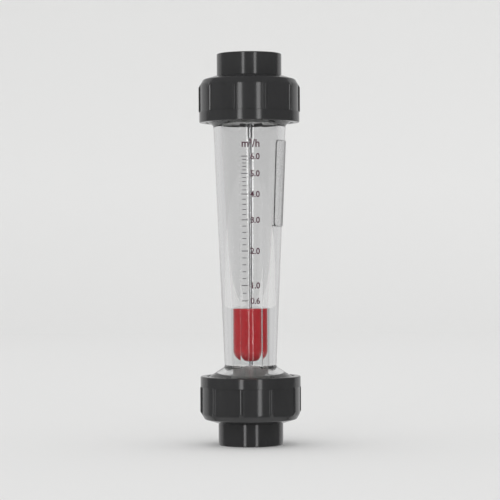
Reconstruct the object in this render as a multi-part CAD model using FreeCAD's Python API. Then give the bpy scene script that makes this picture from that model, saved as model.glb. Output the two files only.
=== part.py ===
import FreeCAD, Part
import math
import os

from FreeCAD import Vector

# A variable-area flow meter for a 40 mm plastic pipe. Millimetres, +Z up along the flow.
# The origin is the middle of the lower socket's end face. The scale side faces -Y.

# Pipe sockets and union ends
pipe_d = 40.0
socket_clearance = 0.1
socket_depth = 26.0
socket_wall = 6.15
socket_edge_round = 0.8
socket_mouth_chamfer = 1.2
waterway_r = 16.0
stop_thickness = 5.0
flange_thickness = 5.6
flange_clearance = 1.4
flange_edge_round = 0.8

# Union nuts
thread_clearance = 0.4
nut_lip_thickness = 7.35
nut_lip_clearance = 0.4
nut_flange_clearance = 0.1
nut_mouth_chamfer = 1.0
nut_overhang = 0.9
band_wall = 5.65
band_height = 8.7
band_round = 0.9
side_wall = 4.85
rib_count = 10
rib_height = 1.25
rib_top_width = 1.8
rib_foot_width = 4.6
shoulder_land = 0.75
shoulder_rise = 3.0
shoulder_round = 2.0
shoulder_cone_width = 2.45
shoulder_cone_deg = 60.0
lower_nut_turn_deg = 4.2
upper_nut_turn_deg = -1.7

# Clear metering tube
tube_length = 254.4
seal_gap = 0.3
collar_r = 34.6
collar_chamfer = 1.0
collar_length = 23.6
cone_rise_deg = 32.0
tube_low_r = 20.95
tube_high_r = 29.35
cone_fillet = 2.5
bore_low_r = 14.65
bore_high_r = 23.7
pocket_depth = 23.3
panel_width = 18.4
panel_rise = 0.35
panel_edge_round = 0.4
pad_rise = 0.8
pad_height = 69.5
pad_top_drop = 12.5
pad_start_deg = 47.0
pad_end_deg = 90.0
pad_corner_round = 3.0

# Seals in the tube's end faces
groove_wall = 1.75
groove_width = 4.6
groove_depth = 3.6
ring_side_gap = 0.1
ring_end_gap = 0.1

# Rod holders
holder_wall = 1.6
holder_fit = 0.15
holder_end_gap = 0.1
hub_wall = 2.55
lower_hub_rise = 10.1
lower_hub_length = 26.7
upper_hub_drop = 1.0
upper_hub_length = 16.6
vane_count = 4
vane_thickness = 2.4
vane_inset = 1.0
vane_end_drop = 1.5
neck_gap = 0.35
neck_top_drop = 0.4
neck_crown_round = 6.0
neck_root_round = 1.5

# Guide rod and what holds it
rod_r = 2.0
rod_fit = 0.05
rod_end_length = 1.0
rod_end_chamfer = 0.4
washer_width = 2.15
washer_thickness = 0.8
rod_nut_across_flats = 7.0
rod_nut_thickness = 3.2
stop_bush_wall = 0.85
stop_bush_height = 3.6
stop_sleeve_wall = 0.95
stop_sleeve_length = 12.9

# Float
float_gap = 0.75
float_length = 42.5
float_rest_gap = 0.1
float_nose_r = 5.0
float_nose_height = 8.8
shell_wall = 3.0
shell_floor = 7.0
cap_thickness = 3.0
inner_fit = 0.05
core_tube_wall = 2.1
bush_wall = 1.2
bush_running_fit = 0.08
bush_shell_fit = 0.06
bush_length = 8.0
bush_flange_width = 1.1
bush_flange_thickness = 1.4

# Places along the meter
union_length = socket_depth + stop_thickness
tube_start = union_length + seal_gap
tube_end = tube_start + tube_length
overall_length = tube_end + seal_gap + union_length
nut_start = union_length - flange_thickness - nut_flange_clearance - nut_lip_thickness
collar_end = tube_start + collar_length
upper_collar_start = tube_end - collar_length
lower_pocket_end = tube_start + pocket_depth
upper_pocket_end = tube_end - pocket_depth
lower_holder_end = lower_pocket_end - holder_end_gap
lower_seat = lower_holder_end + lower_hub_rise
upper_seat = upper_pocket_end + holder_end_gap - upper_hub_drop
float_bottom = lower_seat + stop_bush_height + float_rest_gap
float_top = float_bottom + float_length
float_travel = upper_seat - stop_sleeve_length - float_rest_gap - float_top
lower_washer_z = lower_seat - lower_hub_length - washer_thickness
lower_rod_nut_z = lower_washer_z - rod_nut_thickness
upper_washer_z = upper_seat + upper_hub_length
upper_rod_nut_z = upper_washer_z + washer_thickness
rod_start = lower_rod_nut_z - rod_end_length
rod_end = upper_rod_nut_z + rod_nut_thickness + rod_end_length

# Radii that follow from a neighbour
socket_bore_r = pipe_d / 2 + socket_clearance
socket_r = socket_bore_r + socket_wall
nut_bore_r = collar_r + thread_clearance
flange_r = nut_bore_r - flange_clearance
lip_r = socket_r + nut_lip_clearance
band_r = nut_bore_r + band_wall
side_r = nut_bore_r + side_wall
rib_r = side_r + rib_height
shoulder_r = side_r - shoulder_cone_width
pocket_r = bore_high_r + holder_wall + holder_fit
groove_mid_r = pocket_r + groove_wall + groove_width / 2
neck_r = bore_low_r - neck_gap
rod_hole_r = rod_r + rod_fit
hub_r = rod_hole_r + hub_wall
washer_r = rod_hole_r + washer_width
stop_bush_r = rod_hole_r + stop_bush_wall
stop_sleeve_r = rod_hole_r + stop_sleeve_wall
float_r = bore_low_r - float_gap
bush_inner_r = rod_r + bush_running_fit
bush_outer_r = bush_inner_r + bush_wall
bush_flange_r = bush_outer_r + bush_flange_width
shell_hole_r = bush_outer_r + bush_shell_fit
flange_pocket_r = bush_flange_r + bush_shell_fit
core_tube_r = shell_hole_r + core_tube_wall
weight_pocket_r = float_r - shell_wall

# Cones of even wall between the collars and the tube's body
cone_slope = math.tan(math.radians(cone_rise_deg))
lower_cone_end = collar_end + (collar_r - tube_low_r) * cone_slope
upper_cone_start = upper_collar_start - (collar_r - tube_high_r) * cone_slope
lower_neck = lower_pocket_end + (pocket_r - bore_low_r) * cone_slope
upper_neck = upper_pocket_end - (pocket_r - bore_high_r) * cone_slope

z_axis = Vector(0, 0, 1)
origin = Vector(0, 0, 0)


def outline(corners):
    """Closed wire in the XZ plane through (r, z) corners; a third value rounds that corner."""
    count = len(corners)
    points = [Vector(corner[0], 0, corner[1]) for corner in corners]
    arcs = {}
    starts = list(points)
    ends = list(points)
    for i, corner in enumerate(corners):
        if len(corner) < 3:
            continue
        radius = corner[2]
        here = points[i]
        before = (points[i - 1] - here).normalize()
        after = (points[(i + 1) % count] - here).normalize()
        half = before.getAngle(after) / 2
        reach = radius / math.tan(half)
        middle = here + (before + after).normalize() * (radius / math.sin(half) - radius)
        starts[i] = here + before * reach
        ends[i] = here + after * reach
        arcs[i] = Part.Arc(starts[i], middle, ends[i]).toShape()
    edges = []
    for i in range(count):
        if i in arcs:
            edges.append(arcs[i])
        edges.append(Part.makeLine(ends[i], starts[(i + 1) % count]))
    return Part.Wire(edges)


def turned(corners):
    """Solid of revolution about Z from (r, z) corners."""
    return Part.Face(outline(corners)).revolve(origin, z_axis, 360.0)


def ring(inner_r, outer_r, z0, z1):
    """Plain ring between two heights."""
    return turned([(inner_r, z0), (outer_r, z0), (outer_r, z1), (inner_r, z1)])


def rod_between(radius, z0, z1):
    """Plain round bar between two heights."""
    return Part.makeCylinder(radius, z1 - z0, Vector(0, 0, z0), z_axis)


def polar(radius, angle_deg, z):
    """Point at a radius and an angle from the front, turning towards +X."""
    angle = math.radians(angle_deg)
    return Vector(radius * math.sin(angle), -radius * math.cos(angle), z)


def flipped(shape):
    """The same shape built on the other end of the meter."""
    return shape.mirror(Vector(0, 0, overall_length / 2), z_axis)


def union_end():
    """Pipe socket with the step that stops the pipe and the flange that the nut pulls on."""
    return turned([
        (socket_bore_r + socket_mouth_chamfer, 0),
        (socket_r, 0, socket_edge_round),
        (socket_r, union_length - flange_thickness),
        (flange_r, union_length - flange_thickness, flange_edge_round),
        (flange_r, union_length, flange_edge_round),
        (waterway_r, union_length),
        (waterway_r, socket_depth),
        (socket_bore_r, socket_depth),
        (socket_bore_r, socket_mouth_chamfer),
    ])


def shoulder_z(radius):
    """Height at which the steep cone of a nut's shoulder reaches a radius."""
    slope = math.tan(math.radians(shoulder_cone_deg))
    return nut_start + shoulder_rise + (radius - shoulder_r) * slope


def rib(angle_deg, z0, z1):
    """One grip rib: a narrow crown with sloped flanks, its root sunk into the nut's wall."""
    top_half = math.degrees(rib_top_width / 2 / rib_r)
    foot_half = math.degrees(rib_foot_width / 2 / side_r)
    root_r = nut_bore_r + side_wall / 2
    left_top = polar(rib_r, angle_deg - top_half, z0)
    right_top = polar(rib_r, angle_deg + top_half, z0)
    left_foot = polar(side_r, angle_deg - foot_half, z0)
    right_foot = polar(side_r, angle_deg + foot_half, z0)
    left_root = polar(root_r, angle_deg - foot_half, z0)
    right_root = polar(root_r, angle_deg + foot_half, z0)
    crown = Part.Arc(left_top, polar(rib_r, angle_deg, z0), right_top).toShape()
    edges = [
        crown,
        Part.makeLine(right_top, right_foot),
        Part.makeLine(right_foot, right_root),
        Part.makeLine(right_root, left_root),
        Part.makeLine(left_root, left_foot),
        Part.makeLine(left_foot, left_top),
    ]
    return Part.Face(Part.Wire(edges)).extrude(Vector(0, 0, z1 - z0))


def grip_ribs(z0, z1):
    """All the ribs, their ends cut by the shoulder's cone."""
    over_r = rib_r + rib_height
    room = turned([
        (0, z0),
        (side_r, z0),
        (over_r, shoulder_z(over_r)),
        (over_r, z1),
        (0, z1),
    ])
    pitch = 360.0 / rib_count
    return [rib(i * pitch, z0, z1).common(room) for i in range(rib_count)]


def union_nut(turn_deg):
    """Ribbed nut: thread bore at the tube's side and a lip behind the union end's flange."""
    mouth = collar_end + nut_overhang
    band_start = mouth - band_height
    side_start = shoulder_z(side_r)
    body = turned([
        (0, nut_start),
        (lip_r + shoulder_land, nut_start),
        (shoulder_r, nut_start + shoulder_rise, shoulder_round),
        (side_r, side_start),
        (side_r, band_start),
        (band_r, band_start),
        (band_r, mouth, band_round),
        (0, mouth),
    ])
    blank = body.multiFuse(grip_ribs(side_start, band_start))
    hollow = turned([
        (0, nut_start),
        (lip_r, nut_start),
        (lip_r, nut_start + nut_lip_thickness),
        (nut_bore_r, nut_start + nut_lip_thickness),
        (nut_bore_r, mouth - nut_mouth_chamfer),
        (nut_bore_r + nut_mouth_chamfer, mouth),
        (0, mouth),
    ])
    nut = blank.cut(hollow).removeSplitter()
    nut.rotate(origin, z_axis, 180.0 / rib_count + turn_deg)
    return nut


def tube_body_r(z):
    """Outer radius of the tube's tapered body at a height."""
    share = (z - lower_cone_end) / (upper_cone_start - lower_cone_end)
    return tube_low_r + share * (tube_high_r - tube_low_r)


def bore_r(z):
    """Radius of the metering bore at a height."""
    share = (z - float_top) / (upper_neck - float_top)
    return bore_low_r + max(share, 0.0) * (bore_high_r - bore_low_r)


def reading_panel():
    """Flat strip up the front of the tube, which shows the float without bending its edge."""
    z0 = (collar_end + lower_cone_end) / 2
    z1 = (upper_cone_start + upper_collar_start) / 2
    corners = [
        Vector(0, -(tube_body_r(z0) + panel_rise), z0),
        Vector(0, -(bore_r(z0) + tube_body_r(z0)) / 2, z0),
        Vector(0, -(bore_r(z1) + tube_body_r(z1)) / 2, z1),
        Vector(0, -(tube_body_r(z1) + panel_rise), z1),
    ]
    face = Part.Face(Part.makePolygon(corners + corners[:1]))
    face.translate(Vector(-panel_width / 2, 0, 0))
    panel = face.extrude(Vector(panel_width, 0, 0))
    front = [e for e in panel.Edges if runs_up_the_front(e)]
    return panel.makeFillet(panel_edge_round, front)


def runs_up_the_front(edge):
    """True for the panel's two long front edges."""
    ends = [v.Point for v in edge.Vertexes]
    rise = abs(ends[0].z - ends[1].z)
    middle = (ends[0] + ends[1]) / 2
    depth = -middle.y - tube_body_r(middle.z)
    return rise > panel_width and depth > 0


def label_pad():
    """Slightly raised bare pad on the tube's right side, with rounded corners."""
    z1 = upper_cone_start - pad_top_drop
    z0 = z1 - pad_height
    sunk = (tube_low_r - bore_low_r) / 4
    corners = [
        Vector(tube_body_r(z0) - sunk, 0, z0),
        Vector(tube_body_r(z0) + pad_rise, 0, z0),
        Vector(tube_body_r(z1) + pad_rise, 0, z1),
        Vector(tube_body_r(z1) - sunk, 0, z1),
    ]
    face = Part.Face(Part.makePolygon(corners + corners[:1]))
    face.rotate(origin, z_axis, pad_start_deg - 90.0)
    pad = face.revolve(origin, z_axis, pad_end_deg - pad_start_deg)
    short = [e for e in pad.Edges if crosses_the_pad(e)]
    return pad.makeFillet(pad_corner_round, short)


def crosses_the_pad(edge):
    """True for the four short edges through the pad's thickness."""
    ends = [v.Point for v in edge.Vertexes]
    return len(ends) == 2 and ends[0].distanceToPoint(ends[1]) < 2 * pad_corner_round


def seal_groove():
    """Space of the seal's groove in the tube's lower face."""
    half = groove_width / 2
    return ring(groove_mid_r - half, groove_mid_r + half, tube_start, tube_start + groove_depth)


def metering_tube():
    """Clear moulding: two threaded collars, cones, the tapered body, the panel and the pad."""
    body = turned([
        (0, tube_start),
        (collar_r - collar_chamfer, tube_start),
        (collar_r, tube_start + collar_chamfer),
        (collar_r, collar_end, collar_chamfer),
        (tube_low_r, lower_cone_end, cone_fillet),
        (tube_high_r, upper_cone_start, cone_fillet),
        (collar_r, upper_collar_start, collar_chamfer),
        (collar_r, tube_end - collar_chamfer),
        (collar_r - collar_chamfer, tube_end),
        (0, tube_end),
    ])
    bore = turned([
        (0, tube_start),
        (pocket_r, tube_start),
        (pocket_r, lower_pocket_end),
        (bore_low_r, lower_neck),
        (bore_low_r, float_top),
        (bore_high_r, upper_neck),
        (pocket_r, upper_pocket_end),
        (pocket_r, tube_end),
        (0, tube_end),
    ])
    solid = body.multiFuse([reading_panel(), label_pad()])
    return solid.cut(bore).cut(seal_groove()).cut(flipped(seal_groove()))


def o_ring():
    """Seal squeezed between its groove and the union end's flange."""
    z0 = union_length + ring_end_gap
    z1 = tube_start + groove_depth
    half_width = groove_width / 2 - ring_side_gap
    half_height = (z1 - z0) / 2
    section = Part.Ellipse(Vector(groove_mid_r, 0, (z0 + z1) / 2), half_width, half_height)
    section.Axis = Vector(0, -1, 0)
    face = Part.Face(Part.Wire([section.toShape()]))
    return face.revolve(origin, z_axis, 360.0)


def vane_profile(hub_start, ring_end):
    """Corners of a plain vane, from inside the hub's wall to inside the ring's."""
    z0 = hub_start + vane_inset
    z1 = ring_end - vane_end_drop
    root_r = rod_hole_r + hub_wall / 2
    tip_r = bore_high_r + holder_wall / 2
    return [(root_r, z0), (tip_r, z0), (tip_r, z1), (root_r, z1)]


def necked_profile(hub_start, ring_end, hub_end):
    """The same vane with a crowned part that reaches up into the narrow end of the bore."""
    root_low, tip_low, tip_high, root_high = vane_profile(hub_start, ring_end)
    crown_z = hub_end - neck_top_drop
    return [
        root_low,
        tip_low,
        tip_high,
        (neck_r, tip_high[1], neck_root_round),
        (neck_r, crown_z, neck_crown_round),
        (root_high[0], crown_z),
    ]


def rod_holder(ring_end, hub_start, hub_end, profile):
    """Ring that fills the tube's lower pocket, with a hub for the rod on four vanes."""
    ring_start = tube_start + holder_end_gap
    holder = ring(bore_high_r, bore_high_r + holder_wall, ring_start, ring_end)
    parts = [rod_between(hub_r, hub_start, hub_end)]
    for i in range(vane_count):
        vane = Part.Face(outline(profile)).extrude(Vector(0, vane_thickness, 0))
        vane.translate(Vector(0, -vane_thickness / 2, 0))
        vane.rotate(origin, z_axis, i * 360.0 / vane_count)
        parts.append(vane)
    hole = rod_between(rod_hole_r, hub_start, hub_end)
    return holder.multiFuse(parts).cut(hole).removeSplitter()


def lower_rod_holder():
    """Insert in the tube's lower pocket, whose hub stands up to the bore."""
    hub_start = lower_seat - lower_hub_length
    profile = necked_profile(hub_start, lower_holder_end, lower_seat)
    return rod_holder(lower_holder_end, hub_start, lower_seat, profile)


def upper_rod_holder():
    """Insert in the tube's upper pocket, modelled upside down and then turned over."""
    hub_end = overall_length - upper_seat
    hub_start = hub_end - upper_hub_length
    profile = vane_profile(hub_start, lower_holder_end)
    return flipped(rod_holder(lower_holder_end, hub_start, hub_end, profile))


def rod_washer(z0):
    """Washer between a hub and its nut."""
    return ring(rod_hole_r, washer_r, z0, z0 + washer_thickness)


def rod_nut(z0):
    """Plain hexagon nut on the rod."""
    corner_r = rod_nut_across_flats / math.sqrt(3)
    corners = [polar(corner_r, i * 60.0, z0) for i in range(7)]
    blank = Part.Face(Part.makePolygon(corners)).extrude(Vector(0, 0, rod_nut_thickness))
    return blank.cut(rod_between(rod_hole_r, z0, z0 + rod_nut_thickness))


def guide_rod():
    """Steel rod through both hubs and the float."""
    rod = rod_between(rod_r, rod_start, rod_end)
    tips = [e for e in rod.Edges if isinstance(e.Curve, Part.Circle)]
    return rod.makeChamfer(rod_end_chamfer, tips)


def stop_sleeve():
    """Sleeve under the upper hub that ends the float's travel."""
    return ring(rod_hole_r, stop_sleeve_r, upper_seat - stop_sleeve_length, upper_seat)


def stop_bush():
    """Bush on the lower hub that the float rests on."""
    return ring(rod_hole_r, stop_bush_r, lower_seat, lower_seat + stop_bush_height)


def float_body():
    """Moulded shell: rounded nose, sharp reading edge at the top, a pocket for the weight."""
    z0 = float_bottom
    z1 = float_top
    flange_pocket = bush_flange_thickness + bush_shell_fit
    nose_middle_r = float_nose_r + (float_r - float_nose_r) * math.sin(math.radians(45.0))
    nose_middle_z = z0 + float_nose_height * (1 - math.cos(math.radians(45.0)))
    inner = [
        Vector(float_r, 0, z0 + float_nose_height),
        Vector(float_r, 0, z1),
        Vector(weight_pocket_r, 0, z1),
        Vector(weight_pocket_r, 0, z0 + shell_floor),
        Vector(core_tube_r, 0, z0 + shell_floor),
        Vector(core_tube_r, 0, z1),
        Vector(flange_pocket_r, 0, z1),
        Vector(flange_pocket_r, 0, z1 - flange_pocket),
        Vector(shell_hole_r, 0, z1 - flange_pocket),
        Vector(shell_hole_r, 0, z0 + flange_pocket),
        Vector(flange_pocket_r, 0, z0 + flange_pocket),
        Vector(flange_pocket_r, 0, z0),
        Vector(float_nose_r, 0, z0),
    ]
    edges = [Part.makeLine(a, b) for a, b in zip(inner[:-1], inner[1:])]
    nose = Part.Arc(inner[-1], Vector(nose_middle_r, 0, nose_middle_z), inner[0])
    edges.append(nose.toShape())
    return Part.Face(Part.Wire(edges)).revolve(origin, z_axis, 360.0)


def float_weight():
    """Steel ring that fills the shell's pocket under the cap."""
    z0 = float_bottom + shell_floor + inner_fit
    z1 = float_top - cap_thickness - inner_fit
    return ring(core_tube_r + inner_fit, weight_pocket_r - inner_fit, z0, z1)


def float_cap():
    """Ring that closes the pocket, flush with the reading edge."""
    z0 = float_top - cap_thickness
    return ring(core_tube_r + inner_fit, weight_pocket_r - inner_fit, z0, float_top)


def float_bush(z_face, inwards):
    """Flanged guide bush; its flange is flush with the float's end."""
    z_flange = z_face + inwards * bush_flange_thickness
    z_tip = z_face + inwards * bush_length
    return turned([
        (bush_inner_r, z_face),
        (bush_flange_r, z_face),
        (bush_flange_r, z_flange),
        (bush_outer_r, z_flange),
        (bush_outer_r, z_tip),
        (bush_inner_r, z_tip),
    ])


nodes = {
    "metering_tube": metering_tube(),
    "lower_union_end": union_end(),
    "upper_union_end": flipped(union_end()),
    "lower_union_nut": union_nut(lower_nut_turn_deg),
    "upper_union_nut": flipped(union_nut(upper_nut_turn_deg)),
    "lower_o_ring": o_ring(),
    "upper_o_ring": flipped(o_ring()),
    "lower_rod_holder": lower_rod_holder(),
    "upper_rod_holder": upper_rod_holder(),
    "guide_rod": guide_rod(),
    "lower_rod_washer": rod_washer(lower_washer_z),
    "upper_rod_washer": rod_washer(upper_washer_z),
    "lower_rod_nut": rod_nut(lower_rod_nut_z),
    "upper_rod_nut": rod_nut(upper_rod_nut_z),
    "lower_stop_bush": stop_bush(),
    "upper_stop_sleeve": stop_sleeve(),
    "float_body": float_body(),
    "float_weight": float_weight(),
    "float_cap": float_cap(),
    "lower_float_bush": float_bush(float_bottom, 1),
    "upper_float_bush": float_bush(float_top, -1),
}

os.makedirs("parts", exist_ok=True)
for name, shape in nodes.items():
    shape.exportStep("parts/" + name + ".step")
print("overall length", overall_length, "float travel", float_travel)
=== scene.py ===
import math

import bpy
import numpy as np
from mathutils import Matrix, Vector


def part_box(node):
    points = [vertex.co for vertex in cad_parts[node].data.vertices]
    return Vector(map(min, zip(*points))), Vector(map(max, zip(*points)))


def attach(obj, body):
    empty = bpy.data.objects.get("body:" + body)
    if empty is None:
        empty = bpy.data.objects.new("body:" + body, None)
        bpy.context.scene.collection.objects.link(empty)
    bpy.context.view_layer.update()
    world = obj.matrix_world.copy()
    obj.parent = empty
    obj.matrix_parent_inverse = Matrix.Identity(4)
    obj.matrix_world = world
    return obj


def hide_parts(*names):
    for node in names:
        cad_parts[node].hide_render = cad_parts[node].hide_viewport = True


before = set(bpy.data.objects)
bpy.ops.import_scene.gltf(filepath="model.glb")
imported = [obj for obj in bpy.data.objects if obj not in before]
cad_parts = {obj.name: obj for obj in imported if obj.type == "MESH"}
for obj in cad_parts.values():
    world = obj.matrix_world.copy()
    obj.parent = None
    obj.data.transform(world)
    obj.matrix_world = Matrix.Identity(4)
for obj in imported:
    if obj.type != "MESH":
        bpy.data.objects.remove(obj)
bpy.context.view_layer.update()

# The camera stands level with the middle of the meter and a little to the left of its scale,
# far enough away that the tube's sides stay nearly parallel.
mm = 0.001
meter_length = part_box("upper_union_end")[1].z
camera_distance = 1.7
camera_left_deg = 2.5
camera_roll_deg = 0.3
camera_lens = 150.8
camera_sensor = 36.0
camera_drop = 0.6 * mm

camera_data = bpy.data.cameras.new("camera")
camera_data.lens = camera_lens
camera_data.sensor_width = camera_sensor
camera = bpy.data.objects.new("camera", camera_data)
bpy.context.scene.collection.objects.link(camera)
camera_turn = math.radians(camera_left_deg)
camera.location = (
    -camera_distance * math.sin(camera_turn),
    -camera_distance * math.cos(camera_turn),
    meter_length / 2 - camera_drop,
)
camera.rotation_euler = (
    Matrix.Rotation(-camera_turn, 4, "Z")
    @ Matrix.Rotation(math.radians(90.0), 4, "X")
    @ Matrix.Rotation(math.radians(-camera_roll_deg), 4, "Z")
).to_euler()
bpy.context.scene.camera = camera
bpy.context.scene.view_settings.view_transform = "Standard"

# The studio: a round pale floor with a bent-up rim, an even white surround that lights the meter,
# and two tall lamps in front for the paired upright glints. What shines mirrors a dim room in
# front and a pale wall behind, and what is seen straight through the plastic is pale all round.
floor_colour = (0.81, 0.81, 0.805, 1.0)
rim_colour = (0.865, 0.865, 0.86, 1.0)
rim_shade_top = 0.30
surround_left_strength = 1.11
surround_right_strength = 0.82
room_left_strength = 0.20
room_right_strength = 0.13
room_bend = (-0.75, 0.35)
wall_strength = 0.66
room_end = 0.38
wall_start = 0.60
seen_strength = 0.64
seen_room_end = 0.05
seen_wall_start = 0.62
floor_mirrored = 0.75
floor_bend = (-0.45, -0.80)
floor_r = 2.3
rim_bend = 0.9
rim_top = 1.1
rim_steps = 16
studio_sides = 96
lamp_turn_deg = 21.0
lamp_distance = 1.5
lamp_width = 0.22
lamp_height = 1.7
lamp_watts = 0.37
lamp_spread_deg = 50.0


def new_material(name):
    """Node material with its Principled shader."""
    material = bpy.data.materials.new(name)
    material.use_nodes = True
    return material, material.node_tree.nodes["Principled BSDF"]


def studio_sheet(name, line):
    """Round sheet about Z through points of radius and height; a single point makes a disc."""
    turns = [2 * math.pi * k / studio_sides for k in range(studio_sides)]
    verts = [(r * math.cos(turn), r * math.sin(turn), z) for r, z in line for turn in turns]
    faces = [tuple(range(studio_sides))] if len(line) == 1 else []
    for i in range(len(line) - 1):
        for k in range(studio_sides):
            a = i * studio_sides + k
            b = i * studio_sides + (k + 1) % studio_sides
            faces.append((a, a + studio_sides, b + studio_sides, b))
    mesh = bpy.data.meshes.new(name)
    mesh.from_pydata(verts, [], faces)
    mesh.shade_smooth()
    sheet = bpy.data.objects.new(name, mesh)
    sheet.visible_glossy = False
    bpy.context.scene.collection.objects.link(sheet)
    return sheet


rim_line = []
for i in range(rim_steps + 1):
    rise = math.radians(90.0) * i / rim_steps
    rim_line.append((floor_r + rim_bend * math.sin(rise), rim_bend * (1 - math.cos(rise))))
rim_line.append((floor_r + rim_bend, rim_top))
floor = studio_sheet("studio_floor", [(floor_r, 0.0)])
rim = studio_sheet("studio_rim", rim_line)
rim.visible_transmission = False
floor_material, floor_shader = new_material("pale_floor")
floor_nodes = floor_material.node_tree.nodes
floor_links = floor_material.node_tree.links
floor_place = floor_nodes.new("ShaderNodeTexCoord")
floor_parts = floor_nodes.new("ShaderNodeSeparateXYZ")
floor_rise = floor_nodes.new("ShaderNodeMapRange")
floor_rise.inputs["From Max"].default_value = rim_shade_top
floor_shade = floor_nodes.new("ShaderNodeValToRGB")
floor_shade.color_ramp.elements[0].color = floor_colour
floor_shade.color_ramp.elements[1].color = rim_colour
floor_links.new(floor_place.outputs["Object"], floor_parts.inputs["Vector"])
floor_links.new(floor_parts.outputs["Z"], floor_rise.inputs["Value"])
floor_links.new(floor_rise.outputs["Result"], floor_shade.inputs["Fac"])
floor_links.new(floor_shade.outputs["Color"], floor_shader.inputs["Base Color"])
floor_shader.inputs["Roughness"].default_value = 0.9
floor_shader.inputs["Specular IOR Level"].default_value = 0.0
for sheet in (floor, rim):
    sheet.data.materials.append(floor_material)

world = bpy.data.worlds.new("surround")
world.use_nodes = True
bpy.context.scene.world = world
world.cycles.sampling_method = "NONE"
sky_nodes = world.node_tree.nodes
sky_links = world.node_tree.links
surround = sky_nodes["Background"]
surround.inputs["Color"].default_value = (1.0, 1.0, 1.0, 1.0)
heading = sky_nodes.new("ShaderNodeTexCoord")
parts = sky_nodes.new("ShaderNodeSeparateXYZ")
mirrored = sky_nodes.new("ShaderNodeMapRange")
mirrored.interpolation_type = "SMOOTHSTEP"
mirrored.inputs["To Max"].default_value = wall_strength
room = sky_nodes.new("ShaderNodeMapRange")
room.inputs["From Min"].default_value = room_bend[0]
room.inputs["From Max"].default_value = room_bend[1]
room.inputs["To Min"].default_value = room_left_strength
room.inputs["To Max"].default_value = room_right_strength
below = sky_nodes.new("ShaderNodeMapRange")
below.interpolation_type = "SMOOTHSTEP"
below.inputs["From Min"].default_value = floor_bend[0]
below.inputs["From Max"].default_value = floor_bend[1]
below.inputs["To Max"].default_value = floor_mirrored
brighter = sky_nodes.new("ShaderNodeMath")
brighter.operation = "MAXIMUM"
path = sky_nodes.new("ShaderNodeLightPath")
unmirrored = sky_nodes.new("ShaderNodeMath")
unmirrored.operation = "LESS_THAN"
unmirrored.inputs[1].default_value = 0.5
seen_through = sky_nodes.new("ShaderNodeMath")
seen_through.operation = "MULTIPLY"
shown = sky_nodes.new("ShaderNodeMix")
shown.inputs["B"].default_value = seen_strength
for socket, mirrored_limit, seen_limit in (
    ("From Min", room_end, seen_room_end),
    ("From Max", wall_start, seen_wall_start),
):
    limit = sky_nodes.new("ShaderNodeMix")
    limit.inputs["A"].default_value = mirrored_limit
    limit.inputs["B"].default_value = seen_limit
    sky_links.new(path.outputs["Is Transmission Ray"], limit.inputs["Factor"])
    sky_links.new(limit.outputs["Result"], mirrored.inputs[socket])
sky_links.new(path.outputs["Glossy Depth"], unmirrored.inputs[0])
sky_links.new(unmirrored.outputs["Value"], seen_through.inputs[0])
sky_links.new(path.outputs["Is Transmission Ray"], seen_through.inputs[1])
sky_links.new(seen_through.outputs["Value"], shown.inputs["Factor"])
sky_links.new(mirrored.outputs["Result"], shown.inputs["A"])
lit = sky_nodes.new("ShaderNodeMath")
lit.operation = "GREATER_THAN"
lit.inputs[1].default_value = 0.5
strength = sky_nodes.new("ShaderNodeMix")
leaning = sky_nodes.new("ShaderNodeMapRange")
leaning.inputs["From Min"].default_value = -1.0
leaning.inputs["To Min"].default_value = surround_left_strength
leaning.inputs["To Max"].default_value = surround_right_strength
sky_links.new(heading.outputs["Generated"], parts.inputs["Vector"])
sky_links.new(parts.outputs["X"], room.inputs["Value"])
sky_links.new(parts.outputs["X"], leaning.inputs["Value"])
sky_links.new(parts.outputs["Y"], mirrored.inputs["Value"])
sky_links.new(parts.outputs["Z"], below.inputs["Value"])
sky_links.new(room.outputs["Result"], mirrored.inputs["To Min"])
sky_links.new(shown.outputs["Result"], brighter.inputs[0])
sky_links.new(below.outputs["Result"], brighter.inputs[1])
sky_links.new(path.outputs["Diffuse Depth"], lit.inputs[0])
sky_links.new(lit.outputs["Value"], strength.inputs["Factor"])
sky_links.new(brighter.outputs["Value"], strength.inputs["A"])
sky_links.new(leaning.outputs["Result"], strength.inputs["B"])
sky_links.new(strength.outputs["Result"], surround.inputs["Strength"])

for side, name in ((-1, "strip_lamp_left"), (1, "strip_lamp_right")):
    lamp_data = bpy.data.lights.new(name, "AREA")
    lamp_data.shape = "RECTANGLE"
    lamp_data.size = lamp_width
    lamp_data.size_y = lamp_height
    lamp_data.energy = lamp_watts
    lamp_data.spread = math.radians(lamp_spread_deg)
    lamp = bpy.data.objects.new(name, lamp_data)
    bpy.context.scene.collection.objects.link(lamp)
    turn = side * math.radians(lamp_turn_deg) - camera_turn
    lamp.location = (
        lamp_distance * math.sin(turn),
        -lamp_distance * math.cos(turn),
        meter_length / 2,
    )
    lamp.rotation_euler = (math.radians(90.0), 0.0, turn)

# Union ends: the pipe sockets, one injection moulding each in dark grey pipe plastic. The pipe
# is glued into the socket, and the nut pulls on the flange at the inner end.
end_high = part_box("lower_union_end")[1]
end_length = end_high.z / mm
flange_r = end_high.x / mm
flange_thickness = 5.6
flange_edge_round = 0.8
socket_r = 26.25
socket_bore_r = 20.1
socket_depth = 26.0
socket_edge_round = 0.8
socket_mouth_chamfer = 1.2
waterway_r = 16.0
round_steps = 5
turned_sides = 160
pipe_grey_low = (0.029, 0.029, 0.030, 1.0)
pipe_grey_high = (0.036, 0.036, 0.037, 1.0)
pipe_roughness = (0.11, 0.16)


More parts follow.
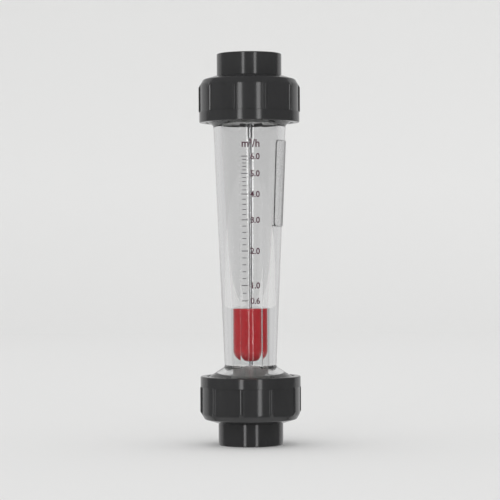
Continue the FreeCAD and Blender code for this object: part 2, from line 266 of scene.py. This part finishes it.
def rounded(corners, steps=round_steps):
    """(r, z) points of a section; a corner's third value is the radius of its round."""
    count = len(corners)
    points = []
    for i, corner in enumerate(corners):
        here = np.array(corner[:2], float)
        if len(corner) < 3:
            points.append(here)
            continue
        before = np.array(corners[i - 1][:2], float) - here
        after = np.array(corners[(i + 1) % count][:2], float) - here
        before /= np.linalg.norm(before)
        after /= np.linalg.norm(after)
        half = math.acos(float(np.clip(before @ after, -1.0, 1.0))) / 2
        middle = before + after
        centre = here + middle / np.linalg.norm(middle) * corner[2] / math.sin(half)
        first = here + before * corner[2] / math.tan(half) - centre
        last = here + after * corner[2] / math.tan(half) - centre
        sweep = math.pi - 2 * half
        for k in range(steps + 1):
            share = k / steps
            mix = math.sin((1 - share) * sweep) * first + math.sin(share * sweep) * last
            points.append(centre + mix / math.sin(sweep))
    return points


def circle(r, z, angles):
    """Loop of points about Z; angles run from the front towards the reader's right."""
    height = np.full(len(angles), z, float)
    return np.stack([r * np.sin(angles), -r * np.cos(angles), height], axis=1)


def skin(name, loops, sharp_deg=38.0):
    """Closed mesh over a cycle of equally long loops, given in millimetres."""
    side = len(loops[0])
    rows = len(loops)
    verts = np.concatenate(loops) * mm
    faces = []
    for i in range(rows):
        a = i * side
        b = ((i + 1) % rows) * side
        for j in range(side):
            k = (j + 1) % side
            faces.append((a + j, a + k, b + k, b + j))
    mesh = bpy.data.meshes.new(name)
    mesh.from_pydata(verts.tolist(), [], faces)
    mesh.update()
    if signed_volume(mesh) < 0:
        mesh.flip_normals()
    mesh.shade_smooth()
    mesh.set_sharp_from_angle(angle=math.radians(sharp_deg))
    piece = bpy.data.objects.new(name, mesh)
    bpy.context.scene.collection.objects.link(piece)
    shading = piece.modifiers.new("flat_faces_lead", "WEIGHTED_NORMAL")
    shading.keep_sharp = True
    shading.weight = 100
    return piece


def signed_volume(mesh):
    """Volume inside a closed mesh, negative where its faces point inwards."""
    total = 0.0
    for face in mesh.polygons:
        total += face.center.dot(face.normal) * face.area
    return total / 3


def surface_noise(material, scale, detail, stretch=(1.0, 1.0, 1.0)):
    """Noise laid over the piece in its own space."""
    nodes = material.node_tree.nodes
    links = material.node_tree.links
    place = nodes.new("ShaderNodeTexCoord")
    mapping = nodes.new("ShaderNodeMapping")
    mapping.inputs["Scale"].default_value = stretch
    noise = nodes.new("ShaderNodeTexNoise")
    noise.inputs["Scale"].default_value = scale
    noise.inputs["Detail"].default_value = detail
    links.new(place.outputs["Object"], mapping.inputs["Vector"])
    links.new(mapping.outputs["Vector"], noise.inputs["Vector"])
    return noise.outputs["Fac"]


def blend_colours(material, factor, low, high, socket):
    """Runs a colour from low to high with a factor."""
    ramp = material.node_tree.nodes.new("ShaderNodeValToRGB")
    ramp.color_ramp.elements[0].position = 0.3
    ramp.color_ramp.elements[0].color = low
    ramp.color_ramp.elements[1].position = 0.7
    ramp.color_ramp.elements[1].color = high
    material.node_tree.links.new(factor, ramp.inputs["Fac"])
    material.node_tree.links.new(ramp.outputs["Color"], socket)


def blend_values(material, factor, low, high, socket):
    """Runs a number from low to high with a factor."""
    span = material.node_tree.nodes.new("ShaderNodeMapRange")
    span.inputs["From Min"].default_value = 0.3
    span.inputs["From Max"].default_value = 0.7
    span.inputs["To Min"].default_value = low
    span.inputs["To Max"].default_value = high
    material.node_tree.links.new(factor, span.inputs["Value"])
    material.node_tree.links.new(span.outputs["Result"], socket)


def add_bump(material, shader, factor, strength, depth):
    """Fine relief from a factor; depth is in metres."""
    bump = material.node_tree.nodes.new("ShaderNodeBump")
    bump.inputs["Strength"].default_value = strength
    bump.inputs["Distance"].default_value = depth
    material.node_tree.links.new(factor, bump.inputs["Height"])
    material.node_tree.links.new(bump.outputs["Normal"], shader.inputs["Normal"])


pipe_plastic, shader = new_material("grey_pipe_plastic")
cloud = surface_noise(pipe_plastic, 60.0, 4.0, (1.0, 1.0, 0.35))
grain = surface_noise(pipe_plastic, 1400.0, 3.0)
blend_colours(pipe_plastic, cloud, pipe_grey_low, pipe_grey_high, shader.inputs["Base Color"])
blend_values(pipe_plastic, cloud, *pipe_roughness, shader.inputs["Roughness"])
add_bump(pipe_plastic, shader, grain, 0.05, 0.00002)
shader.inputs["Specular IOR Level"].default_value = 0.5

turned_angles = np.linspace(0.0, 2 * math.pi, turned_sides, endpoint=False)
end_section = rounded([
    (socket_bore_r + socket_mouth_chamfer, 0.0, 0.3),
    (socket_r, 0.0, socket_edge_round),
    (socket_r, end_length - flange_thickness, 0.5),
    (flange_r, end_length - flange_thickness, flange_edge_round),
    (flange_r, end_length, flange_edge_round),
    (waterway_r, end_length, 0.4),
    (waterway_r, socket_depth, 0.3),
    (socket_bore_r, socket_depth, 0.5),
    (socket_bore_r, socket_mouth_chamfer, 0.3),
])
for name, node, body, upside_down in (
    ("lower_socket", "lower_union_end", "lower_union", False),
    ("upper_socket", "upper_union_end", "upper_union", True),
):
    loops = []
    for r, z in end_section:
        height = meter_length / mm - z if upside_down else z
        loops.append(circle(r, height, turned_angles))
    socket = skin(name, loops)
    socket.data.materials.append(pipe_plastic)
    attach(socket, body)
    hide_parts(node)

# Union nuts: ribbed mouldings in the same plastic. Ten grip ribs run from the plain band at
# the mouth to the sloping shoulder, and a coarse thread inside runs on the tube's collar.
nut_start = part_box("lower_union_nut")[0].z / mm
nut_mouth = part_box("lower_union_nut")[1].z / mm
nut_lip_thickness = 7.35
lip_r = 26.65
nut_bore_r = 35.0
band_r = 40.65
band_height = 8.7
band_round = 0.9
side_r = 39.85
rib_count = 10
rib_height = 1.25
rib_top_deg = 0.6
rib_foot_deg = 2.9
shoulder_land = 0.75
shoulder_r = 37.4
shoulder_rise = 3.0
shoulder_round = 2.0
side_round = 4.0
cone_pull = math.tan(math.radians(30.0))
edge_break = 0.25
thread_pitch = 4.0
thread_depth = 1.3
thread_step = 0.4
thread_crest = 0.11
thread_root = 0.23
nut_turns_deg = {"lower_union_nut": 4.2, "upper_union_nut": -1.7}

rib_pitch = 2 * math.pi / rib_count
half_sector_deg = [
    0, 0.3, 0.6, 0.85, 1.1, 1.45, 1.8, 2.15, 2.5, 2.75, 2.95, 3.2, 4.0, 6.0, 8.4, 10.8, 13.2, 15.6,
]
sector_deg = [-18.0] + [-d for d in reversed(half_sector_deg[1:])] + half_sector_deg


def smooth_step(low, high, value):
    """0 below low, 1 above high, and an eased rise between."""
    share = np.clip((value - low) / (high - low), 0.0, 1.0)
    return share * share * (3 - 2 * share)


def thread_tooth(heights, angles, phase):
    """Share of a right-hand thread's depth at points about Z, from 0 at its root to 1."""
    turn = np.mod(heights / thread_pitch - angles / (2 * math.pi) + phase, 1.0)
    from_crest = np.abs(turn - 0.5)
    return 1.0 - smooth_step(thread_crest, thread_root, from_crest)


def nut_loops(upside_down, turn_deg):
    """Loops over the nut's outside, mouth, thread and lip."""
    sector = np.radians(np.array(sector_deg))
    from_rib = np.abs(np.tile(sector, rib_count))
    angles = np.concatenate([sector + (i + 0.5) * rib_pitch for i in range(rib_count)])
    angles = angles + math.radians(turn_deg)
    flank_width = math.radians(rib_foot_deg - rib_top_deg)
    flank = np.clip((math.radians(rib_foot_deg) - from_rib) / flank_width, 0.0, 1.0)
    rib = rib_height * (0.6 * flank + 0.4 * flank * flank * (3 - 2 * flank))
    band_start = nut_mouth - band_height
    side_start = nut_start + shoulder_rise + (side_r - shoulder_r) / cone_pull
    rib_full = side_start + rib_height / cone_pull
    rows = []
    for r, z in rounded([
        (lip_r, nut_start, edge_break),
        (lip_r + shoulder_land, nut_start, 0.4),
        (shoulder_r, nut_start + shoulder_rise, shoulder_round),
        (side_r, side_start, side_round),
        (side_r, band_start),
    ])[:-1]:
        room = side_r + (z - side_start) * cone_pull - r if z > side_start - 1.2 else 0.0
        rows.append((r + np.minimum(rib, max(room, 0.0)), z))
    for z in np.linspace(rows[-1][1] + 0.2, rib_full + 0.3, 7):
        rows.append((side_r + np.minimum(rib, (z - side_start) * cone_pull), z))
    rows.append((side_r + rib, (rib_full + band_start) / 2))
    rows.append((side_r + rib, band_start - edge_break))
    rows.append((side_r + np.maximum(rib - edge_break, 0), band_start))
    for r, z in rounded([
        (side_r, band_start),
        (band_r, band_start, edge_break),
        (band_r, nut_mouth, band_round),
        (nut_bore_r + 1.0, nut_mouth, 0.3),
        (nut_bore_r, nut_mouth - 1.0),
    ])[1:]:
        over_band = 0.0
        if z < band_start + 1.1 * edge_break:
            over_band = side_r + rib - edge_break - 0.1 - 0.4 * (z - band_start)
        rows.append((np.maximum(over_band, np.full(len(angles), r)), z))
    thread_start = nut_start + nut_lip_thickness + 1.5
    steps = int((nut_mouth - 1.6 - thread_start) / thread_step)
    for k in range(steps, -1, -1):
        rows.append(("thread", thread_start + k * thread_step))
    for r, z in rounded([
        (nut_bore_r, nut_start + nut_lip_thickness, 0.6),
        (lip_r, nut_start + nut_lip_thickness, 0.4),
        (lip_r, nut_start + nut_lip_thickness / 2),
    ])[:-1]:
        rows.append((np.full(len(angles), r), z))
    loops = []
    for r, z in rows:
        height = meter_length / mm - z if upside_down else z
        if isinstance(r, str):
            reach = smooth_step(thread_start, thread_start + 2.0, z)
            reach = reach * (1 - smooth_step(nut_mouth - 4.0, nut_mouth - 2.0, z))
            r = nut_bore_r - thread_depth * reach * thread_tooth(height, angles, 0.5)
        loops.append(circle(r, height, angles))
    return loops


for name, node, body, upside_down in (
    ("lower_nut", "lower_union_nut", "lower_nut", False),
    ("upper_nut", "upper_union_nut", "upper_nut", True),
):
    nut = skin(name, nut_loops(upside_down, nut_turns_deg[node]), 30.0)
    nut.data.materials.append(pipe_plastic)
    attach(nut, body)
    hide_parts(node)

# Seals: black rubber rings squeezed in the tube's end faces. Only a turned-off union bares
# them, so they keep the shape that the frame gives.
seal_black_low = (0.008, 0.008, 0.008, 1.0)
seal_black_high = (0.016, 0.016, 0.016, 1.0)
seal_roughness = (0.45, 0.6)

seal_rubber, shader = new_material("seal_rubber")
bloom = surface_noise(seal_rubber, 300.0, 3.0)
blend_colours(seal_rubber, bloom, seal_black_low, seal_black_high, shader.inputs["Base Color"])
blend_values(seal_rubber, bloom, *seal_roughness, shader.inputs["Roughness"])
for node in ("lower_o_ring", "upper_o_ring"):
    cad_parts[node].data.materials.clear()
    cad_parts[node].data.materials.append(seal_rubber)

# Metering tube: one clear moulding. Its outside widens upwards between two conical shoulders,
# a flat reading panel runs up the front, a low etched label pad sits on the right, and the
# bore narrows towards the float's rest. The collars carry the nuts' thread.
tube_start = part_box("metering_tube")[0].z / mm
tube_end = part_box("metering_tube")[1].z / mm
collar_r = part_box("metering_tube")[1].x / mm
collar_chamfer = 1.0
collar_length = 23.6
cone_slope = math.tan(math.radians(32.0))
tube_low_r = 20.95
tube_high_r = 29.35
cone_fillet = 2.5
lower_cone_start = tube_start + collar_length
lower_cone_end = lower_cone_start + (collar_r - tube_low_r) * cone_slope
upper_cone_end = tube_end - collar_length
upper_cone_start = upper_cone_end - (collar_r - tube_high_r) * cone_slope
bore_low_r = 14.65
bore_high_r = 23.7
panel_half = 9.2
panel_rise = 0.35
panel_round = 0.4
pad_rise = 0.8
pad_top = upper_cone_start - 12.5
pad_bottom = pad_top - 69.5
pad_start = math.radians(45.0)
pad_end = math.radians(90.0)
pad_round = 3.0
pad_edge = 0.35
groove_inner_r = 27.2
groove_outer_r = 31.8
groove_depth = 3.6
pocket_r = 25.45
pocket_depth = 23.3
lower_pocket_end = tube_start + pocket_depth
upper_pocket_end = tube_end - pocket_depth
float_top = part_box("float_body")[1].z / mm
pad_lines = [-3.4, -2.6, -1.9, -1.3, -0.8, -0.4, -0.15, 0.1, 0.4, 0.8]
clear_tint = (0.95, 0.95, 0.95, 1.0)
clear_ior = 1.6
clear_roughness = (0.0, 0.02)
pad_roughness = (0.20, 0.30)


def body_r(z):
    """Radius of the tapered body."""
    share = (z - lower_cone_end) / (upper_cone_start - lower_cone_end)
    return tube_low_r + share * (tube_high_r - tube_low_r)


def pad_height(r, angles, z):
    """How far the label pad stands up: a rounded rectangle with eased edges."""
    middle = (pad_start + pad_end) / 2
    across = np.abs(angles - middle) * r - (pad_end - pad_start) / 2 * r + pad_round
    along = abs(z - (pad_top + pad_bottom) / 2) - (pad_top - pad_bottom) / 2 + pad_round
    outside = np.hypot(np.maximum(across, 0), max(along, 0.0)) + np.minimum(np.maximum(across, along), 0)
    return pad_rise * (1 - smooth_step(-pad_edge, 0.0, outside - pad_round))


def tube_section(r, z):
    """Loop round the tube's outside at a height, in step with the loops above and below."""
    front = body_r(z) + panel_rise
    flat = panel_half - panel_round
    points = [(x, -front) for x in np.linspace(0.0, flat, 7)]
    for k in range(1, 5):
        angle = math.radians(90.0) * k / 4
        points.append((flat + panel_round * math.sin(angle), panel_round * (1 - math.cos(angle)) - front))
    foot = min(front - panel_round, math.sqrt(max(r * r - panel_half ** 2, 0.0)))
    points.append((panel_half, -foot - 0.3 * (front - panel_round - foot)))
    points.append((panel_half, -foot))
    half = np.array(points)
    spoke = np.hypot(half[:, 0], half[:, 1])
    half *= (np.maximum(spoke, r) / spoke)[:, None]
    foot_angle = math.atan2(panel_half, foot)
    near = foot_angle + 0.4 / r
    edge_a = [pad_start - d / r for d in reversed(pad_lines)]
    edge_b = [pad_end + d / r for d in pad_lines]
    right = np.concatenate([
        np.linspace(near, edge_a[0], 8, endpoint=False),
        edge_a,
        np.linspace(edge_a[-1], edge_b[0], 10)[1:-1],
        edge_b,
        np.linspace(edge_b[-1], math.pi, 28)[1:],
    ])
    left = np.linspace(math.pi, 2 * math.pi - near, 60)[1:]
    angles = np.concatenate([right, left])
    reach = np.full(len(angles), r) + pad_height(r, angles, z)
    around = np.stack([reach * np.sin(angles), -reach * np.cos(angles)], axis=1)
    mirrored = half[:0:-1] * np.array([-1.0, 1.0])
    outline = np.concatenate([half, around, mirrored])
    return np.column_stack([outline, np.full(len(outline), z)])


def tube_loops():
    """Loops up the outside, over the top face, down the bore and back over the lower face."""
    outside = rounded([
        (0.0, tube_start),
        (collar_r - collar_chamfer, tube_start),
        (collar_r, tube_start + collar_chamfer),
        (collar_r, lower_cone_start, collar_chamfer),
        (tube_low_r, lower_cone_end, cone_fillet),
        (tube_high_r, upper_cone_start, cone_fillet),
        (collar_r, upper_cone_end, collar_chamfer),
        (collar_r, tube_end - collar_chamfer),
        (collar_r - collar_chamfer, tube_end),
        (0.0, tube_end),
    ], 8)[1:-1]
    radii = np.array([p[0] for p in outside])
    heights = np.array([p[1] for p in outside])
    levels = set(round(float(h), 4) for h in heights)
    for line in pad_lines:
        levels.add(round(pad_top + line, 4))
        levels.add(round(pad_bottom - line, 4))
    for z in np.arange(lower_cone_end + 8, upper_cone_start - 4, 9.0):
        if min(abs(z - pad_top), abs(z - pad_bottom)) > 4.5:
            levels.add(round(float(z), 4))
    lower_thread = (tube_start + collar_chamfer, lower_cone_start - 1.5)
    upper_thread = (upper_cone_end + 1.5, tube_end - collar_chamfer)
    for low, high in (lower_thread, upper_thread):
        for z in np.arange(low, high, thread_step):
            levels.add(round(float(z), 4))
    loops = []
    for z in sorted(levels):
        r = float(np.interp(z, heights, radii))
        loop = tube_section(r, z)
        for low, high in (lower_thread, upper_thread):
            if low < z < high:
                reach = smooth_step(low, low + 1.5, z) * (1 - smooth_step(high - 1.5, high, z))
                angles = np.mod(np.arctan2(loop[:, 0], -loop[:, 1]), 2 * math.pi)
                cut = thread_depth * reach * (1 - thread_tooth(z, angles, 0.0))
                loop[:, :2] *= ((r - cut) / r)[:, None]
        loops.append(loop)
    angles = np.arctan2(loops[0][:, 0], -loops[0][:, 1])
    end_face = [
        (groove_outer_r, 0.0, 0.2),
        (groove_outer_r, groove_depth, 0.2),
        (groove_inner_r, groove_depth, 0.2),
        (groove_inner_r, 0.0, 0.2),
    ]
    top = [(r, tube_end - z, c) for r, z, c in end_face]
    bottom = [(r, tube_start + z, c) for r, z, c in reversed(end_face)]
    bore = rounded(
        [(collar_r - collar_chamfer, tube_end)]
        + top
        + [
            (pocket_r, tube_end, 0.3),
            (pocket_r, upper_pocket_end, 0.8),
            (bore_high_r, upper_pocket_end - (pocket_r - bore_high_r) * cone_slope, 0.8),
            (bore_low_r, float_top, 60.0),
            (bore_low_r, lower_pocket_end + (pocket_r - bore_low_r) * cone_slope, 2.0),
            (pocket_r, lower_pocket_end, 0.8),
            (pocket_r, tube_start, 0.3),
        ]
        + bottom
        + [(collar_r - collar_chamfer, tube_start)],
    )[1:-1]
    for r, z in bore:
        loops.append(circle(r, z, angles))
    return loops


def clear_material(name):
    """Clear moulding plastic with its Principled shader."""
    material, clear_shader = new_material(name)
    clear_shader.inputs["Base Color"].default_value = clear_tint
    clear_shader.inputs["Transmission Weight"].default_value = 1.0
    clear_shader.inputs["IOR"].default_value = clear_ior
    return material, clear_shader


clear_plastic, shader = clear_material("clear_plastic")
flow_lines = surface_noise(clear_plastic, 30.0, 2.0, (1.0, 1.0, 0.15))
blend_values(clear_plastic, flow_lines, *clear_roughness, shader.inputs["Roughness"])
add_bump(clear_plastic, shader, flow_lines, 0.02, 0.0003)

pad_plastic, shader = clear_material("matt_clear_plastic")
etching = surface_noise(pad_plastic, 2200.0, 2.0)
blend_values(pad_plastic, etching, *pad_roughness, shader.inputs["Roughness"])
add_bump(pad_plastic, shader, etching, 0.06, 0.00003)

tube = skin("clear_tube", tube_loops(), 32.0)
tube.data.materials.append(clear_plastic)
tube.data.materials.append(pad_plastic)
for face in tube.data.polygons:
    x, y, z = face.center / mm
    on_pad = pad_start < math.atan2(x, -y) < pad_end and pad_bottom < z < pad_top
    if on_pad and math.hypot(x, y) > body_r(z) + pad_rise / 2:
        face.material_index = 1
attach(tube, "tube")
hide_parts("metering_tube")

# Printed scale: ink on the reading panel. Marks every 0.2 run from 0.6 to 6, closer together
# towards the top, and the numerals stand to their right.
ink_thickness = 0.06
mark_width = 0.56
minor_width = 0.48
major_marks = (0.6, 1.0, 2.0, 3.0, 4.0, 5.0, 6.0)
major_levels = (117.2, 129.5, 157.1, 182.0, 202.6, 219.1, 232.85)
mark_left = -7.8
mark_right = -2.8
minor_left = -7.1
minor_right = -4.0
numeral_height = 4.7
numeral_left = -0.75
unit_height = 6.0
unit_level = 243.3
unit_centre = -0.4
stroke_spread = 0.15
letter_width = 0.92
dark_ink = (0.03, 0.03, 0.035, 1.0)
red_ink = (0.075, 0.024, 0.038, 1.0)


def scale_level(flow):
    """Height of a flow's mark, spread evenly between the numbered ones."""
    return float(np.interp(flow, major_marks, major_levels))


def on_panel(x, z, lift=0.0):
    """Point on the reading panel's face."""
    return (x * mm, -(body_r(z) + panel_rise + lift) * mm, z * mm)


def ink_material(name, colour):
    """Matt printing ink, a little uneven."""
    ink, ink_shader = new_material(name)
    spread = surface_noise(ink, 900.0, 2.0)
    thin = tuple(min(1.0, c * 1.5) for c in colour[:3]) + (1.0,)
    blend_colours(ink, spread, colour, thin, ink_shader.inputs["Base Color"])
    ink_shader.inputs["Roughness"].default_value = 0.6
    return ink


def scale_marks():
    """All the printed lines as thin bars in one mesh."""
    verts = []
    faces = []
    flows = [0.6 + 0.2 * i for i in range(28)]
    for flow in flows:
        major = min(abs(flow - m) for m in major_marks) < 0.01
        left, right = (mark_left, mark_right) if major else (minor_left, minor_right)
        half = (mark_width if major else minor_width) / 2
        z = scale_level(flow)
        first = len(verts)
        for lift in (0.0, ink_thickness):
            for x, level in ((left, z - half), (right, z - half), (right, z + half), (left, z + half)):
                verts.append(on_panel(x, level, lift))
        for face in ((0, 1, 2, 3), (7, 6, 5, 4), (0, 4, 5, 1), (1, 5, 6, 2), (2, 6, 7, 3), (3, 7, 4, 0)):
            faces.append(tuple(first + i for i in face))
    mesh = bpy.data.meshes.new("scale_marks")
    mesh.from_pydata(verts, [], faces)
    mesh.update()
    if signed_volume(mesh) < 0:
        mesh.flip_normals()
    marks = bpy.data.objects.new("scale_marks", mesh)
    bpy.context.scene.collection.objects.link(marks)
    return marks


def printed_text(name, words, height, left, level, centred=False):
    """Printed characters as a thin mesh on the panel."""
    curve = bpy.data.curves.new(name, "FONT")
    curve.body = words
    curve.size = height / 0.69 * mm
    curve.extrude = ink_thickness / 2 * mm
    curve.offset = stroke_spread * mm
    curve.resolution_u = 4
    curve.align_x = "CENTER" if centred else "LEFT"
    curve.align_y = "CENTER"
    text = bpy.data.objects.new(name, curve)
    mesh = bpy.data.meshes.new_from_object(text)
    bpy.data.objects.remove(text)
    low = min(v.co.y for v in mesh.vertices)
    high = max(v.co.y for v in mesh.vertices)
    for vertex in mesh.vertices:
        x, up, out = vertex.co
        up -= (low + high) / 2
        vertex.co = on_panel(left + x / mm * letter_width, level + up / mm, ink_thickness / 2 + out / mm)
    mesh.update()
    piece = bpy.data.objects.new(name, mesh)
    bpy.context.scene.collection.objects.link(piece)
    return piece


marks = scale_marks()
marks.data.materials.append(ink_material("dark_ink", dark_ink))
red_print = ink_material("red_ink", red_ink)
numerals = [
    printed_text(f"numeral_{i}", f"{flow:.1f}", numeral_height, numeral_left, scale_level(flow))
    for i, flow in enumerate(major_marks)
]
unit = printed_text("unit_mark", "m³/h", unit_height, unit_centre, unit_level, True)
for piece in numerals + [unit]:
    piece.data.materials.append(red_print)
for piece in [marks, unit] + numerals:
    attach(piece, "tube")

# Rod holders: white moulded inserts in the pockets at both ends of the tube, each a ring with
# four vanes and a hub. They stay as the frame has them and take a moulded finish.
holder_white_low = (0.66, 0.66, 0.65, 1.0)
holder_white_high = (0.73, 0.73, 0.72, 1.0)
holder_roughness = (0.32, 0.42)

holder_plastic, shader = new_material("holder_plastic")
cloud = surface_noise(holder_plastic, 90.0, 3.0)
blend_colours(holder_plastic, cloud, holder_white_low, holder_white_high, shader.inputs["Base Color"])
blend_values(holder_plastic, cloud, *holder_roughness, shader.inputs["Roughness"])
for node in ("lower_rod_holder", "upper_rod_holder"):
    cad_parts[node].data.materials.clear()
    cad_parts[node].data.materials.append(holder_plastic)

# Guide rod and its hardware: drawn steel rod, washers, hexagon nuts, the bush that the float
# rests on and the sleeve that ends its travel. All are bright steel.
steel_low = (0.46, 0.46, 0.47, 1.0)
steel_high = (0.56, 0.56, 0.57, 1.0)
steel_roughness = (0.12, 0.20)

bright_steel, shader = new_material("bright_steel")
drawn = surface_noise(bright_steel, 500.0, 3.0, (1.0, 1.0, 0.04))
blend_colours(bright_steel, drawn, steel_low, steel_high, shader.inputs["Base Color"])
blend_values(bright_steel, drawn, *steel_roughness, shader.inputs["Roughness"])
shader.inputs["Metallic"].default_value = 1.0
for node in (
    "guide_rod", "lower_rod_washer", "upper_rod_washer", "lower_rod_nut", "upper_rod_nut",
    "lower_stop_bush", "upper_stop_sleeve",
):
    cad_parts[node].data.materials.clear()
    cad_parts[node].data.materials.append(bright_steel)

# Float: a red moulded shell with a rounded nose and a sharp upper edge at which the flow is
# read. A ring cap closes it over a steel weight, and white bushes guide it on the rod.
float_low, float_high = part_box("float_body")
float_r = float_high.x / mm
float_bottom = float_low.z / mm
float_nose_r = 5.0
float_nose_height = 8.8
weight_pocket_r = 10.9
flange_pocket_r = 4.44
flange_pocket_depth = 1.46
shell_hole_r = 3.34
core_tube_r = 5.44
shell_floor = 7.0
red_low = (0.78, 0.014, 0.026, 1.0)
red_high = (0.84, 0.022, 0.034, 1.0)
float_roughness = (0.15, 0.23)
weight_grey_low = (0.32, 0.32, 0.33, 1.0)
weight_grey_high = (0.42, 0.42, 0.43, 1.0)
weight_roughness = (0.35, 0.5)
bush_white_low = (0.74, 0.74, 0.71, 1.0)
bush_white_high = (0.80, 0.80, 0.78, 1.0)
bush_roughness = (0.4, 0.5)

float_plastic, shader = new_material("float_plastic")
cloud = surface_noise(float_plastic, 120.0, 3.0)
turning = surface_noise(float_plastic, 220.0, 2.0, (0.1, 0.1, 6.0))
blend_colours(float_plastic, cloud, red_low, red_high, shader.inputs["Base Color"])
blend_values(float_plastic, turning, *float_roughness, shader.inputs["Roughness"])
add_bump(float_plastic, shader, turning, 0.10, 0.00004)

nose = []
for k in range(13):
    angle = math.radians(90.0) * k / 12
    nose.append((
        float_nose_r + (float_r - float_nose_r) * math.sin(angle),
        float_bottom + float_nose_height * (1 - math.cos(angle)),
    ))
shell_section = nose + rounded([
    (float_r, float_bottom + float_nose_height + 1.0),
    (float_r, float_top, 0.2),
    (weight_pocket_r, float_top, 0.15),
    (weight_pocket_r, float_bottom + shell_floor, 0.3),
    (core_tube_r, float_bottom + shell_floor, 0.3),
    (core_tube_r, float_top, 0.15),
    (flange_pocket_r, float_top, 0.15),
    (flange_pocket_r, float_top - flange_pocket_depth),
    (shell_hole_r, float_top - flange_pocket_depth),
    (shell_hole_r, float_bottom + flange_pocket_depth),
    (flange_pocket_r, float_bottom + flange_pocket_depth),
    (flange_pocket_r, float_bottom),
], 3)
shell = skin("float_shell", [circle(r, z, turned_angles) for r, z in shell_section])
shell.data.materials.append(float_plastic)
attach(shell, "float")
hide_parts("float_body")
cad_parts["float_cap"].data.materials.clear()
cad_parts["float_cap"].data.materials.append(float_plastic)

weight_steel, shader = new_material("weight_steel")
turning = surface_noise(weight_steel, 300.0, 2.0, (0.1, 0.1, 4.0))
blend_colours(weight_steel, turning, weight_grey_low, weight_grey_high, shader.inputs["Base Color"])
blend_values(weight_steel, turning, *weight_roughness, shader.inputs["Roughness"])
shader.inputs["Metallic"].default_value = 1.0
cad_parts["float_weight"].data.materials.clear()
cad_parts["float_weight"].data.materials.append(weight_steel)

bush_plastic, shader = new_material("bush_plastic")
cloud = surface_noise(bush_plastic, 200.0, 2.0)
blend_colours(bush_plastic, cloud, bush_white_low, bush_white_high, shader.inputs["Base Color"])
blend_values(bush_plastic, cloud, *bush_roughness, shader.inputs["Roughness"])
for node in ("lower_float_bush", "upper_float_bush"):
    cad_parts[node].data.materials.clear()
    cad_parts[node].data.materials.append(bush_plastic)
